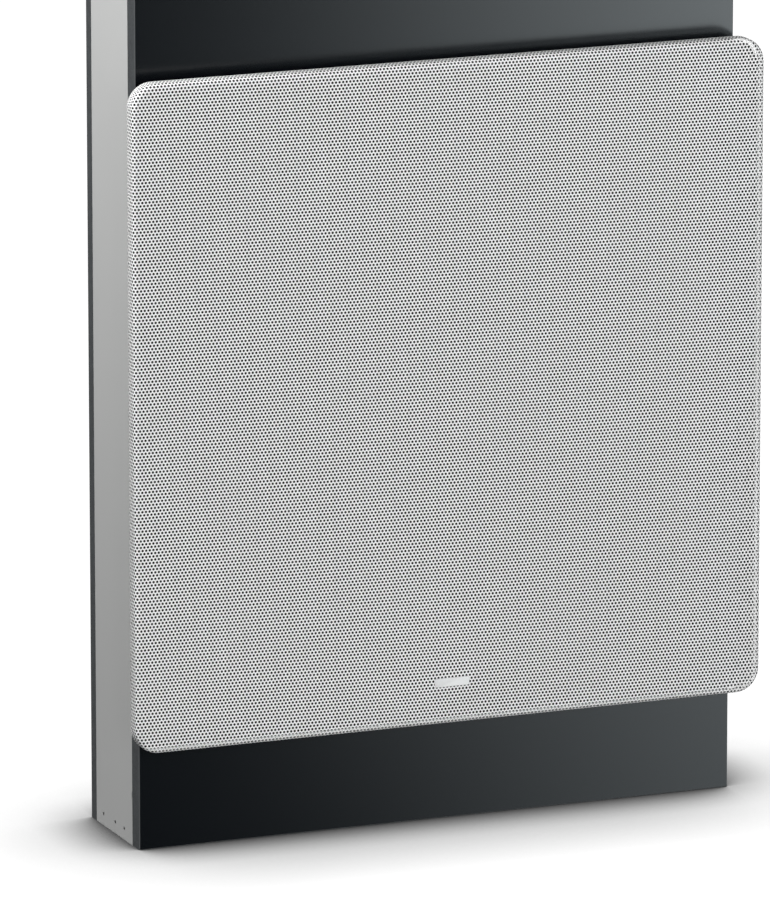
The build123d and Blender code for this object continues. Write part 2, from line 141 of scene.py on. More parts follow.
def edgeWearAndShadeGroup():
    # Mask of edges by comparing the true and the bevelled normal
    group, gin, gout = newGroup(
        "EdgeMask",
        [("Mask", "NodeSocketFloat"), ("Normal", "NodeSocketVector")],
        [("Radius", "NodeSocketFloat", 0.0006)],
    )
    n, l = group.nodes, group.links
    bevel = n.new("ShaderNodeBevel")
    bevel.samples = 4
    geo = n.new("ShaderNodeNewGeometry")
    dot = n.new("ShaderNodeVectorMath")
    dot.operation = "DOT_PRODUCT"
    ramp = n.new("ShaderNodeMapRange")
    ramp.inputs["From Min"].default_value = 0.995
    ramp.inputs["From Max"].default_value = 0.85
    l.new(gin.outputs["Radius"], bevel.inputs["Radius"])
    l.new(bevel.outputs["Normal"], dot.inputs[0])
    l.new(geo.outputs["Normal"], dot.inputs[1])
    l.new(dot.outputs["Value"], ramp.inputs["Value"])
    l.new(ramp.outputs["Result"], gout.inputs["Mask"])
    l.new(bevel.outputs["Normal"], gout.inputs["Normal"])
    return group


speckle = speckleGroup()
edgeMask = edgeWearAndShadeGroup()


def material(
    name,
    color,
    roughness,
    metallic=0.0,
    noiseScale=400.0,
    noiseDepth=0.03,
    bump=0.05,
    bumpDistance=0.0001,
    edge=0.15,
    coat=0.0,
    sheen=0.0,
    roughSpread=0.08,
):
    # Plain finish with a little variation in colour and roughness, paler worn edges, edges painted darker as
    # shade where edge is negative, and fine bump
    mat = bpy.data.materials.new(name)
    mat.use_nodes = True
    n, l = mat.node_tree.nodes, mat.node_tree.links
    bsdf = n["Principled BSDF"]
    coord = n.new("ShaderNodeTexCoord")
    grain = n.new("ShaderNodeTexNoise")
    grain.inputs["Scale"].default_value = noiseScale
    grain.inputs["Detail"].default_value = 3.0
    l.new(coord.outputs["Object"], grain.inputs["Vector"])
    shade = n.new("ShaderNodeMix")
    shade.data_type = "RGBA"
    dark = [c * (1 - noiseDepth) for c in color]
    pale = [min(c * (1 + noiseDepth), 1.0) for c in color]
    shade.inputs[6].default_value = (*dark, 1)
    shade.inputs[7].default_value = (*pale, 1)
    l.new(grain.outputs["Fac"], shade.inputs[0])
    if edge:
        mask = n.new("ShaderNodeGroup")
        mask.node_tree = edgeMask
        wornAndShadedEdge = n.new("ShaderNodeMix")
        wornAndShadedEdge.data_type = "RGBA"
        wornAndShadedEdge.inputs[7].default_value = (*[min(c * (1 + edge) + edge * 0.02, 1.0) for c in color], 1)
        l.new(mask.outputs["Mask"], wornAndShadedEdge.inputs[0])
        l.new(shade.outputs[2], wornAndShadedEdge.inputs[6])
        l.new(wornAndShadedEdge.outputs[2], bsdf.inputs["Base Color"])
    else:
        l.new(shade.outputs[2], bsdf.inputs["Base Color"])
    rough = n.new("ShaderNodeMapRange")
    rough.inputs["To Min"].default_value = max(roughness - roughSpread / 2, 0.02)
    rough.inputs["To Max"].default_value = min(roughness + roughSpread / 2, 1.0)
    l.new(grain.outputs["Fac"], rough.inputs["Value"])
    l.new(rough.outputs["Result"], bsdf.inputs["Roughness"])
    relief = n.new("ShaderNodeBump")
    relief.inputs["Strength"].default_value = bump
    relief.inputs["Distance"].default_value = bumpDistance
    l.new(grain.outputs["Fac"], relief.inputs["Height"])
    if edge:
        l.new(mask.outputs["Normal"], relief.inputs["Normal"])  # rounds sharp edges
    l.new(relief.outputs["Normal"], bsdf.inputs["Normal"])
    bsdf.inputs["Metallic"].default_value = metallic
    bsdf.inputs["Coat Weight"].default_value = coat
    bsdf.inputs["Sheen Weight"].default_value = sheen
    return mat


def boardMaterial(name, faceColor, edgeColor, faceRough, faceAxis, facePlane, faceSide):
    # Lacquered face on one plane, a lighter band painted as a highlight along the eased edge beside it,
    # speckled sawn board on the other sides
    mat = bpy.data.materials.new(name)
    mat.use_nodes = True
    n, l = mat.node_tree.nodes, mat.node_tree.links
    bsdf = n["Principled BSDF"]
    coord = n.new("ShaderNodeTexCoord")
    split = n.new("ShaderNodeSeparateXYZ")
    l.new(coord.outputs["Object"], split.inputs["Vector"])
    onFace = n.new("ShaderNodeMapRange")
    onFace.inputs["From Min"].default_value = facePlane - faceSide * 0.00012
    onFace.inputs["From Max"].default_value = facePlane - faceSide * 0.00006
    l.new(split.outputs[faceAxis], onFace.inputs["Value"])
    onHighlightBand = n.new("ShaderNodeMapRange")  # band along the eased edge, painted lighter as a highlight
    onHighlightBand.inputs["From Min"].default_value = facePlane - faceSide * 0.00075
    onHighlightBand.inputs["From Max"].default_value = facePlane - faceSide * 0.00062
    l.new(split.outputs[faceAxis], onHighlightBand.inputs["Value"])
    highlightBand = n.new("ShaderNodeMix")
    highlightBand.data_type = "RGBA"
    highlightBand.inputs[7].default_value = (*chamferHighlightGrey, 1)
    l.new(onHighlightBand.outputs["Result"], highlightBand.inputs[0])
    fleck = n.new("ShaderNodeGroup")
    fleck.node_tree = speckle
    fleck.inputs["Scale"].default_value = 1.0
    contrast = n.new("ShaderNodeMapRange")
    contrast.inputs["From Min"].default_value = 0.38
    contrast.inputs["From Max"].default_value = 0.62
    l.new(fleck.outputs["Mask"], contrast.inputs["Value"])
    sawn = n.new("ShaderNodeMix")
    sawn.data_type = "RGBA"
    sawn.inputs[6].default_value = (*[c * 0.72 for c in edgeColor], 1)
    sawn.inputs[7].default_value = (*[c * 1.3 for c in edgeColor], 1)
    l.new(contrast.outputs["Result"], sawn.inputs[0])
    soft = n.new("ShaderNodeTexNoise")
    soft.inputs["Scale"].default_value = 5.0
    l.new(coord.outputs["Object"], soft.inputs["Vector"])
    lacquer = n.new("ShaderNodeMix")
    lacquer.data_type = "RGBA"
    lacquer.inputs[6].default_value = (*[c * 0.96 for c in faceColor], 1)
    lacquer.inputs[7].default_value = (*[c * 1.04 for c in faceColor], 1)
    l.new(soft.outputs["Fac"], lacquer.inputs[0])
    both = n.new("ShaderNodeMix")
    both.data_type = "RGBA"
    l.new(onFace.outputs["Result"], both.inputs[0])
    l.new(sawn.outputs[2], highlightBand.inputs[6])
    l.new(highlightBand.outputs[2], both.inputs[6])
    l.new(lacquer.outputs[2], both.inputs[7])
    l.new(both.outputs[2], bsdf.inputs["Base Color"])
    rough = n.new("ShaderNodeMapRange")
    rough.inputs["To Min"].default_value = 0.7
    rough.inputs["To Max"].default_value = faceRough
    l.new(onFace.outputs["Result"], rough.inputs["Value"])
    l.new(rough.outputs["Result"], bsdf.inputs["Roughness"])
    relief = n.new("ShaderNodeBump")
    relief.inputs["Strength"].default_value = 0.12
    relief.inputs["Distance"].default_value = 0.0002
    height = n.new("ShaderNodeMath")
    height.operation = "MULTIPLY"
    invert = n.new("ShaderNodeMath")
    invert.operation = "SUBTRACT"
    invert.inputs[0].default_value = 1.0
    l.new(onFace.outputs["Result"], invert.inputs[1])
    l.new(invert.outputs["Value"], height.inputs[0])
    l.new(fleck.outputs["Height"], height.inputs[1])
    l.new(height.outputs["Value"], relief.inputs["Height"])
    l.new(relief.outputs["Normal"], bsdf.inputs["Normal"])
    return mat


# Finishes
baffleFront = nodeSize("front_baffle")[0].y
rearBack = nodeSize("rear_panel")[1].y
edgeGrey = (0.044, 0.048, 0.051)
# Lighter grey of the eased edge band: a painted highlight
chamferHighlightGrey = (0.075, 0.079, 0.082)
frontMat = boardMaterial("FrontBoard", (0.0026, 0.0036, 0.0050), edgeGrey, 0.2, "Y", baffleFront, -1)
rearMat = boardMaterial("RearBoard", (0.012, 0.012, 0.013), edgeGrey, 0.5, "Y", rearBack, 1)
greyMat = material(
    "GreySide", (0.50, 0.505, 0.50), 0.42, noiseScale=60, noiseDepth=0.015, bump=0.04, edge=0.08
)
plainMat = material("PlainBoard", (0.42, 0.33, 0.24), 0.75, noiseScale=700, noiseDepth=0.15, bump=0.3)
whiteMat = material(
    "WhitePowder",
    (0.90, 0.90, 0.898),
    0.6,
    noiseScale=1800,
    noiseDepth=0.01,
    bump=0.1,
    bumpDistance=0.00005,
    edge=0,
)
# Near-black colour on the hole walls: painted shade inside the perforations
holeShadeMat = material("PaintedHoleShade", (0.012, 0.012, 0.012), 0.6, noiseScale=1800, edge=0)
scrimMat = material(
    "BlackCloth", (0.006, 0.006, 0.006), 0.95, noiseScale=2500, noiseDepth=0.3, bump=0.4, edge=0
)
# Its negative edge value paints a darker line round the plate: a painted shade at its rim
badgeMat = material("BadgePlate", (0.87, 0.875, 0.88), 0.4, metallic=0.05, noiseScale=1500, edge=-0.35)
blackPlasticMat = material(
    "BlackPlastic", (0.014, 0.014, 0.015), 0.55, noiseScale=1400, noiseDepth=0.1, bump=0.25
)
zincMat = material("ZincSteel", (0.55, 0.56, 0.58), 0.35, metallic=1.0, noiseScale=300, noiseDepth=0.08)
pinMat = material("DarkPin", (0.03, 0.03, 0.032), 0.5, metallic=0.6, noiseScale=900)
darkSteelMat = material("DarkSteel", (0.022, 0.022, 0.024), 0.4, metallic=0.4, noiseScale=500, noiseDepth=0.1)
nickelMat = material("Nickel", (0.7, 0.69, 0.66), 0.2, metallic=1.0, noiseScale=500)
foamMat = material("Foam", (0.02, 0.02, 0.02), 0.95, noiseScale=1600, noiseDepth=0.4, bump=0.6)
rubberMat = material("Rubber", (0.018, 0.018, 0.019), 0.6, noiseScale=900, noiseDepth=0.1, bump=0.15)
pulpMat = material(
    "Pulp", (0.022, 0.022, 0.024), 0.7, noiseScale=350, noiseDepth=0.25, bump=0.5, bumpDistance=0.0004
)
filmMat = material("Film", (0.35, 0.2, 0.07), 0.3, noiseScale=500, coat=0.3)
copperMat = material(
    "Copper", (0.65, 0.30, 0.16), 0.3, metallic=0.9, noiseScale=1200, noiseDepth=0.15, bump=0.4
)
treatedMat = material("TreatedCloth", (0.5, 0.36, 0.15), 0.85, noiseScale=1500, noiseDepth=0.25, bump=0.5)
ferriteMat = material("Ferrite", (0.055, 0.055, 0.06), 0.55, noiseScale=250, noiseDepth=0.2, bump=0.2)
cardMat = material("StripCard", (0.40, 0.25, 0.12), 0.8, noiseScale=600, noiseDepth=0.15)
brassMat = material("Brass", (0.80, 0.60, 0.25), 0.22, metallic=1.0, noiseScale=500)
redMat = material("RedPlastic", (0.45, 0.012, 0.012), 0.3, noiseScale=500, coat=0.3)
redCoverMat = material("RedCover", (0.40, 0.015, 0.015), 0.55, noiseScale=900)
blackCoverMat = material("BlackCover", (0.012, 0.012, 0.012), 0.55, noiseScale=900)
waddingMat = material(
    "Wadding", (0.82, 0.82, 0.80), 1.0, noiseScale=260, noiseDepth=0.12, bump=1.0, sheen=0.5
)

finishes = {
    "front_baffle": frontMat,
    "rear_panel": rearMat,
    "side_panel_left": greyMat,
    "side_panel_right": greyMat,
    "side_pins": pinMat,
    "top_panel": plainMat,
    "bottom_panel": plainMat,
    "brace_lower": plainMat,
    "brace_middle": plainMat,
    "brace_upper": plainMat,
    "bezel_frame": blackPlasticMat,
    "bezel_screws": darkSteelMat,
    "grille_magnets": nickelMat,
    "grille": whiteMat,
    "grille_scrim": scrimMat,
    "grille_badge": badgeMat,
    "driver_gasket": foamMat,
    "driver_basket": darkSteelMat,
    "driver_screws": darkSteelMat,
    "surround": rubberMat,
    "cone": pulpMat,
    "dust_cap": pulpMat,
    "coil_former": filmMat,
    "voice_coil": copperMat,
    "spider": treatedMat,
    "top_plate": zincMat,
    "magnet_ring": ferriteMat,
    "yoke": zincMat,
    "terminal_strip": cardMat,
    "strip_tags": brassMat,
    "tinsel_leads": copperMat,
    "terminal_cup": blackPlasticMat,
    "terminal_screws": darkSteelMat,
    "post_red": brassMat,
    "post_black": brassMat,
    "knob_red": redMat,
    "knob_black": blackPlasticMat,
    "post_nuts": zincMat,
    "wire_red": redCoverMat,
    "wire_black": blackCoverMat,
    "wadding": waddingMat,
}
for name, mat in finishes.items():
    nodes[name].data.materials.clear()
    nodes[name].data.materials.append(mat)
print("finishes done")

# Perforated grille: one staggered sheet of holes folded round the pan's bend
panLow, panHigh = nodeSize("grille")
pan = {
    "centre": (panLow + panHigh) / 2,
    "half": (panHigh.x - panLow.x) / 2,
    "front": panLow.y,
    "depth": panHigh.y - panLow.y,
    "corner": 0.0165,
    "bend": 0.003,
    "sheet": 0.001,
    "punched": 0.00035,
    "pitch": 0.0025,
    "hole": 0.000825,
    "shiftX": -0.00079,
    "shiftZ": -0.00321,
    "bands": 5,
}


def onPan(points, inward):
    # Points of the flat blank, folded onto the pan, pushed inwards from its skin
    start = pan["half"] - pan["bend"]
    radius = pan["corner"] - pan["bend"]
    core = start - radius
    inner = np.clip(points, -core, core)
    away = points - inner
    length = np.hypot(away[:, 0], away[:, 1])
    beyond = length - radius
    unit = away / np.maximum(length, 1e-12)[:, None]
    arc = pan["bend"] * math.pi / 2
    lowest = arc + pan["depth"] - pan["bend"]
    beyond = np.minimum(beyond, lowest)
    turn = np.clip(beyond / pan["bend"], 0, math.pi / 2)
    straight = np.clip(beyond - arc, 0, None)
    line = inner + unit * radius
    flat = (beyond <= 0)[:, None]
    out = pan["bend"] * np.sin(turn)
    across = np.where(flat, points, line + unit * out[:, None])
    back = pan["bend"] * (1 - np.cos(turn)) + straight
    normal = np.zeros((len(points), 3))
    normal[:, 0] = unit[:, 0] * np.sin(turn)
    normal[:, 1] = -np.cos(turn)
    normal[:, 2] = unit[:, 1] * np.sin(turn)
    skin = np.zeros((len(points), 3))
    skin[:, 0] = pan["centre"].x + across[:, 0]
    skin[:, 1] = pan["front"] + back
    skin[:, 2] = pan["centre"].z + across[:, 1]
    return skin - normal * inward


def holeSheet():
    # Centres of the staggered holes that the blank has room for
    pitch = pan["pitch"]
    rise = pitch * math.sqrt(3) / 2
    reach = pan["half"] - pan["bend"] + pan["bend"] * math.pi / 2 + pan["depth"] - pan["bend"]
    rows = int(reach / rise) + 2
    columns = int(reach / pitch) + 3
    row, column = np.meshgrid(np.arange(-rows, rows + 1), np.arange(-columns, columns + 1), indexing="ij")
    x = (column + 0.5 * (row % 2)) * pitch + pan["shiftX"]
    z = row * rise + pan["shiftZ"]
    core = pan["half"] - pan["corner"]
    awayX = np.clip(np.abs(x) - core, 0, None)
    awayZ = np.clip(np.abs(z) - core, 0, None)
    edge = reach - core
    keep = np.hypot(awayX, awayZ) < edge + pitch * 0.6
    return row, column, x, z, keep


def grilleBands():
    row, column, x, z, keep = holeSheet()
    apothem = pan["hole"] * math.sqrt(math.pi / (2 * math.sqrt(3)))
    radius = apothem * 2 / math.sqrt(3)
    index = -np.ones(row.shape, int)
    index[keep] = np.arange(keep.sum())
    centres = np.stack([x[keep], z[keep]], 1)
    angles = np.radians(30 + 60 * np.arange(6))
    ring = radius * np.stack([np.cos(angles), np.sin(angles)], 1)
    points = (centres[:, None, :] + ring[None, :, :]).reshape(-1, 2)
    count = len(centres)
    skin = onPan(points, 0.0)
    rim = skin.copy()
    deep = onPan(points, pan["punched"])
    verts = np.vstack([skin, rim, deep])
    total = len(points)
    odd = row % 2

    def neighbour(rowStep, columnStep):
        # Index of the hole one step away, or none at the sheet's edge
        rowIndex = np.arange(row.shape[0])[:, None] + rowStep
        shift = columnStep if rowStep == 0 else columnStep + odd
        columnIndex = np.arange(row.shape[1])[None, :] + shift
        inside = (rowIndex >= 0) & (rowIndex < row.shape[0])
        inside = inside & (columnIndex >= 0) & (columnIndex < row.shape[1])
        rowSafe = np.clip(rowIndex, 0, row.shape[0] - 1) + 0 * columnIndex
        columnSafe = np.clip(columnIndex, 0, row.shape[1] - 1) + 0 * rowIndex
        return np.where(inside, index[rowSafe, columnSafe], -1)[keep]

    right = neighbour(0, 1)
    upRight = neighbour(1, 0)
    upLeft = neighbour(1, -1)
    own = np.arange(count)
    quads = []
    triangles = []
    owners = []
    # Corners are numbered from the upper right one, anticlockwise
    ok = right >= 0
    a, b = own[ok], right[ok]
    quads.append(np.stack([a * 6 + 0, a * 6 + 5, b * 6 + 3, b * 6 + 2], 1))
    owners.append(a)
    ok = upRight >= 0
    a, b = own[ok], upRight[ok]
    quads.append(np.stack([a * 6 + 1, a * 6 + 0, b * 6 + 4, b * 6 + 3], 1))
    owners.append(a)
    ok = upLeft >= 0
    a, b = own[ok], upLeft[ok]
    quads.append(np.stack([a * 6 + 2, a * 6 + 1, b * 6 + 5, b * 6 + 4], 1))
    owners.append(a)
    quad = np.vstack(quads)
    quadOwner = np.concatenate(owners)
    ok = (right >= 0) & (upRight >= 0)
    a, b, c = own[ok], right[ok], upRight[ok]
    triangles.append(np.stack([a * 6 + 0, b * 6 + 2, c * 6 + 4], 1))
    triOwner = [a]
    ok = (upLeft >= 0) & (upRight >= 0)
    a, b, c = own[ok], upRight[ok], upLeft[ok]
    triangles.append(np.stack([a * 6 + 1, b * 6 + 3, c * 6 + 5], 1))
    triOwner.append(a)
    tri = np.vstack(triangles)
    triOwner = np.concatenate(triOwner)
    corner = np.arange(6)
    after = (corner + 1) % 6
    base = own[:, None] * 6
    wall = np.stack(
        [total + base + corner, total + base + after, 2 * total + base + after, 2 * total + base + corner], 2
    ).reshape(-1, 4)
    wallOwner = np.repeat(own, 6)
    faces = np.vstack([quad, wall])
    faceOwner = np.concatenate([quadOwner, wallOwner])
    order = np.argsort(centres[:, 0], kind="stable")
    band = np.zeros(count, int)
    band[order] = (np.arange(count) * pan["bands"]) // count

    def area(corners):
        # Twice the area of the polygons' first and last triangles
        p = verts[corners]
        first = np.cross(p[:, 1] - p[:, 0], p[:, 2] - p[:, 0])
        if corners.shape[1] == 4:
            second = np.cross(p[:, 2] - p[:, 0], p[:, 3] - p[:, 0])
            return np.linalg.norm(first, axis=1) + np.linalg.norm(second, axis=1)
        return np.linalg.norm(first, axis=1)

    pieces = []
    keepFace = []
    for number in range(pan["bands"]):
        keepFace.append((band[faceOwner] == number) & (area(faces) > 1e-9))
        q = faces[keepFace[number]]
        t = tri[(band[triOwner] == number) & (area(tri) > 1e-10)]
        used = np.unique(np.concatenate([q.ravel(), t.ravel()]))
        renumber = np.zeros(len(verts), int)
        renumber[used] = np.arange(len(used))
        mesh = bpy.data.meshes.new(f"grillePerforated{number + 1}")
        mesh.vertices.add(len(used))
        mesh.vertices.foreach_set("co", verts[used].ravel())
        corners = np.concatenate([renumber[q].ravel(), renumber[t].ravel()])
        starts = np.concatenate([np.arange(len(q)) * 4, len(q) * 4 + np.arange(len(t)) * 3])
        sizes = np.concatenate([np.full(len(q), 4), np.full(len(t), 3)])
        mesh.loops.add(len(corners))
        mesh.loops.foreach_set("vertex_index", corners.astype(np.int32))
        mesh.polygons.add(len(starts))
        mesh.polygons.foreach_set("loop_start", starts.astype(np.int32))
        mesh.polygons.foreach_set("loop_total", sizes.astype(np.int32))
        mesh.update(calc_edges=True)
        mesh.materials.append(whiteMat)
        # The hole walls take the near-black painted shade
        mesh.materials.append(holeShadeMat)
        isWall = (faceOwner.size - wallOwner.size) <= np.flatnonzero(keepFace[number])
        slots = np.concatenate([isWall.astype(np.int32), np.zeros(len(t), np.int32)])
        mesh.polygons.foreach_set("material_index", slots)
        mesh.polygons.foreach_set("use_smooth", np.ones(len(starts), bool))
        obj = bpy.data.objects.new(f"grillePerforated{number + 1}", mesh)
        bpy.context.scene.collection.objects.link(obj)
        pieces.append(obj)
        print("band", number + 1, "faces", len(q) * 2 + len(t))
    return pieces


for piece in grilleBands():
    settle(piece, "grille_panel", "white_powder", "grille")


def roundedOutline(half, corner, steps=10):
    # Points of a rounded square, anticlockwise from the right
    points = []
    for quarter in range(4):
        for step in range(steps + 1):
            angle = math.radians(quarter * 90 + step * 90 / steps)
            cx = (half - corner) * (1 if quarter in (0, 3) else -1)
            cz = (half - corner) * (1 if quarter in (0, 1) else -1)
            points.append((cx + corner * math.cos(angle), cz + corner * math.sin(angle)))
    return points


def grilleRim():
    # Turned back edge and the plain inner side of the skirt's end
    outer = roundedOutline(pan["half"], pan["corner"])
    inner = roundedOutline(pan["half"] - pan["sheet"], pan["corner"] - pan["sheet"])
    back = pan["front"] + pan["depth"]
    loops = [(outer, back - 0.0004), (outer, back), (inner, back), (inner, back - 0.0012)]
    verts = [(pan["centre"].x + x, y, pan["centre"].z + z) for line, y in loops for x, z in line]
    count = len(outer)
    faces = []
    for level in range(len(loops) - 1):
        for i in range(count):
            j = (i + 1) % count
            here, above = level * count, (level + 1) * count
            faces.append((here + i, here + j, above + j, above + i))
    return makeObject("grilleRim", verts, faces, whiteMat)


settle(grilleRim(), "grille_panel", "white_powder", "grille")
print("grille done")

# Places that the small pieces share
frontY = nodeSize("front_baffle")[0].y
rearY = nodeSize("rear_panel")[1].y
woofer = (nodeSize("driver_basket")[0] + nodeSize("driver_basket")[1]) / 2
cupCentre = (nodeSize("terminal_cup")[0] + nodeSize("terminal_cup")[1]) / 2


def turned(bm, outline, place, facing, count=32, shape=None, hollow=False):
    # Sweeps an outline of radius and height round Y; facing is -1 towards the front
    rings = []
    for index, (radius, height) in enumerate(outline):
        ring = []
        for step in range(count):
            angle = 2 * math.pi * step / count
            r = radius * (shape(index, angle) if shape else 1.0)
            x = place[0] + r * math.cos(angle)
            z = place[2] + r * math.sin(angle)
            ring.append(bm.verts.new((x, place[1] + facing * height, z)))
        rings.append(ring)
    if hollow:
        rings.append(rings[0])
    for low, high in zip(rings, rings[1:]):
        for i in range(count):
            j = (i + 1) % count
            bm.faces.new((low[i], low[j], high[j], high[i]))
    if not hollow:
        bm.faces.new(rings[0])
        bm.faces.new(rings[-1])


def shadedByAngle(obj, degrees=32):
    for poly in obj.data.polygons:
        poly.use_smooth = True
    obj.data.set_sharp_from_angle(angle=math.radians(degrees))
    return obj


def hexagon(angle):
    return math.cos(math.pi / 6) / math.cos(angle % (math.pi / 3) - math.pi / 6)


def cross(angle):
    off = abs((angle + math.pi / 4) % (math.pi / 2) - math.pi / 4)
    return min(1.0, 0.28 / max(math.sin(off), 1e-6))


# Screws: threaded shank, domed head and a driver's recess
screwKinds = {
    "driver_screws": {
        "head": 0.0045, "rise": 0.003, "shank": 0.00225, "length": 0.018, "recess": 0.0024,
        "shape": hexagon, "facing": -1, "slot": "dark_steel", "finish": darkSteelMat,
    },
    "bezel_screws": {
        "head": 0.00375, "rise": 0.0025, "shank": 0.00175, "length": 0.016, "recess": 0.0024,
        "shape": cross, "facing": -1, "slot": "dark_steel", "finish": darkSteelMat,
    },
    "terminal_screws": {
        "head": 0.0028, "rise": 0.0016, "shank": 0.0015, "length": 0.0075, "recess": 0.0018,
        "shape": cross, "facing": 1, "slot": "dark_steel", "finish": darkSteelMat,
    },
}


def screwPlaces(node, kind):
    # Corner or ring places, from the box of the screws' node
    low, high = nodeSize(node)
    seat = high.y - kind["rise"] if kind["facing"] > 0 else low.y + kind["rise"]
    middle = (low + high) / 2
    reachX = (high.x - low.x) / 2 - kind["head"]
    reachZ = (high.z - low.z) / 2 - kind["head"]
    if node != "driver_screws":
        return [(middle.x + a * reachX, seat, middle.z + b * reachZ) for a in (-1, 1) for b in (-1, 1)]
    radius = reachX / math.cos(math.pi / 8)
    angles = [math.pi / 8 + k * math.pi / 4 for k in range(8)]
    return [(middle.x + radius * math.cos(a), seat, middle.z + radius * math.sin(a)) for a in angles]


def screwSet(node, kind):
    bm = bmesh.new()
    outline = []
    turns = int(kind["length"] / 0.0009)
    for step in range(2 * turns):
        depth = kind["length"] * (1 - step / (2 * turns))
        outline.append((kind["shank"] * (0.78 if step % 2 else 1.0), -depth))
    outline[0] = (kind["shank"] * 0.3, -kind["length"])
    head, rise, recess = kind["head"], kind["rise"], kind["recess"]
    first = len(outline) + 5
    outline += [(kind["shank"], 0), (head, 0), (head, 0.35 * rise)]
    outline += [(0.92 * head, 0.72 * rise), (0.72 * head, 0.94 * rise)]
    outline += [(recess, rise), (recess * 0.85, rise * 0.35)]

    def recessed(i, angle):
        return kind["shape"](angle) if i >= first else 1.0

    for place in screwPlaces(node, kind):
        turned(bm, outline, place, kind["facing"], 24, recessed)
    return shadedByAngle(fromBmesh(node + "Turned", bm, kind["finish"]), 40)


for node, kind in screwKinds.items():
    settle(screwSet(node, kind), "cabinet", kind["slot"], node)
print("screws done")

# Binding posts and their ribbed six sided knobs
post = {
    "spacing": 0.038,
    "seat": rearY - 0.0255,
    "radius": 0.004,
    "length": 0.019,
    "shank": 0.0025,
    "shankLength": 0.009,
    "socket": 0.00205,
    "socketDepth": 0.015,
    "thread": 0.0008,
}
knob = {
    "across": 0.014,
    "length": 0.014,
    "lift": 0.0003,
    "bore": 0.00405,
    "chamfer": 0.0011,
    "ribs": 0.012,
}


def postPiece(name, x):
    outline = [(post["shank"], -post["shankLength"]), (post["shank"], 0), (post["radius"], 0)]
    turns = int(post["length"] / post["thread"])
    for step in range(2 * turns - 2):
        height = post["thread"] * (step + 1) / 2
        outline.append((post["radius"] - (0.00035 if step % 2 else 0), height))
    outline += [(post["radius"] - 0.0006, post["length"]), (post["socket"] + 0.0003, post["length"])]
    outline += [(post["socket"], post["length"] - 0.0003)]
    outline += [(post["socket"], post["length"] - post["socketDepth"])]
    bm = bmesh.new()
    turned(bm, outline, (x, post["seat"], cupCentre.z), 1, 40)
    return shadedByAngle(fromBmesh(name, bm, brassMat), 25)


def knobPiece(name, x, mat):
    corner = knob["across"] / 2 / math.cos(math.pi / 6)
    end = knob["length"]
    edge = knob["chamfer"]
    outline = [(knob["bore"], 0), (corner - edge / 2, 0), (corner, edge / 2)]
    outline += [(corner, end - 2 * edge), (corner - edge / 3, end - edge), (corner - edge, end - edge / 3)]
    outline += [(corner - 2 * edge, end), (knob["bore"] + 0.0006, end), (knob["bore"], end - 0.0006)]

    def section(index, angle):
        if index in (0, 7, 8):
            return 1.0
        rounded = max(hexagon(angle), 0.0) ** 0.92
        ribs = 1 - knob["ribs"] * (0.5 + 0.5 * math.cos(36 * angle)) if index in (2, 3) else 1.0
        return rounded * ribs

    bm = bmesh.new()
    turned(bm, outline, (x, post["seat"] + knob["lift"], cupCentre.z), 1, 144, section, hollow=True)
    return shadedByAngle(fromBmesh(name, bm, mat), 28)


terminals = {
    "red": (-1, redMat, "red_plastic"),
    "black": (1, blackPlasticMat, "black_plastic"),
}
for colour, (side, mat, slotName) in terminals.items():
    x = -side * post["spacing"] / 2
    settle(postPiece(f"post_{colour}Turned", x), "cabinet", "brass", f"post_{colour}")
    settle(knobPiece(f"knob_{colour}Ribbed", x, mat), f"{colour}_knob", slotName, f"knob_{colour}")
print("terminals done")


# Surround and spider: soft rings in sectors
def ringSector(name, section, startAngle, sweep, steps, mat):
    # Closed section of radius and depth, swept through part of a turn behind the baffle's front
    verts = []
    faces = []
    count = len(section)
    for step in range(steps + 1):
        angle = startAngle + sweep * step / steps
        for radius, depth in section:
            verts.append((radius * math.cos(angle), frontY + depth, woofer.z + radius * math.sin(angle)))
    for step in range(steps):
        for i in range(count):
            j = (i + 1) % count
            here, ahead = step * count, (step + 1) * count
            faces.append((here + i, here + j, ahead + j, ahead + i))
    bm = bmesh.new()
    made = [bm.verts.new(v) for v in verts]
    for face in faces:
        bm.faces.new([made[i] for i in face])
    return shadedByAngle(fromBmesh(name, bm, mat), 50)


roll = {
    "rim": 0.1502,
    "outer": 0.1415,
    "inner": 0.1195,
    "land": 0.1115,
    "height": 0.010,
    "thick": 0.0008,
    "seat": -0.004,
    "sectors": 24,
    "steps": 16,
}
web = {
    "outer": 0.1012,
    "seat": 0.0935,
    "inner": 0.0388,
    "neck": 0.0425,
    "waves": 7,
    "wave": 0.0011,
    "depth": 0.0326,
    "thick": 0.0007,
    "sectors": 24,
    "steps": 56,
}


def rollSection():
    middle = (roll["outer"] + roll["inner"]) / 2
    half = (roll["outer"] - roll["inner"]) / 2
    front = roll["seat"] - roll["thick"]
    skin = [(roll["rim"], front)]
    back = [(roll["rim"], roll["seat"])]
    for step in range(roll["steps"] + 1):
        angle = math.pi * step / roll["steps"]
        skin.append((middle + half * math.cos(angle), front - roll["height"] * math.sin(angle)))
        inside = half - roll["thick"]
        deep = (roll["height"] - 0.0002) * math.sin(angle)
        back.append((middle + inside * math.cos(angle), roll["seat"] - deep))
    skin.append((roll["land"], front))
    back.append((roll["land"], roll["seat"]))
    return skin + back[::-1]


def webSection():
    line = []
    for step in range(web["steps"] + 1):
        radius = web["inner"] + (web["outer"] - web["inner"]) * step / web["steps"]
        inside = min(max((radius - web["neck"]) / (web["seat"] - web["neck"]), 0), 1)
        line.append((radius, web["depth"] + web["wave"] * math.sin(2 * math.pi * web["waves"] * inside)))
    half = web["thick"] / 2
    return [(r, d - half) for r, d in line] + [(r, d + half) for r, d in line[::-1]]


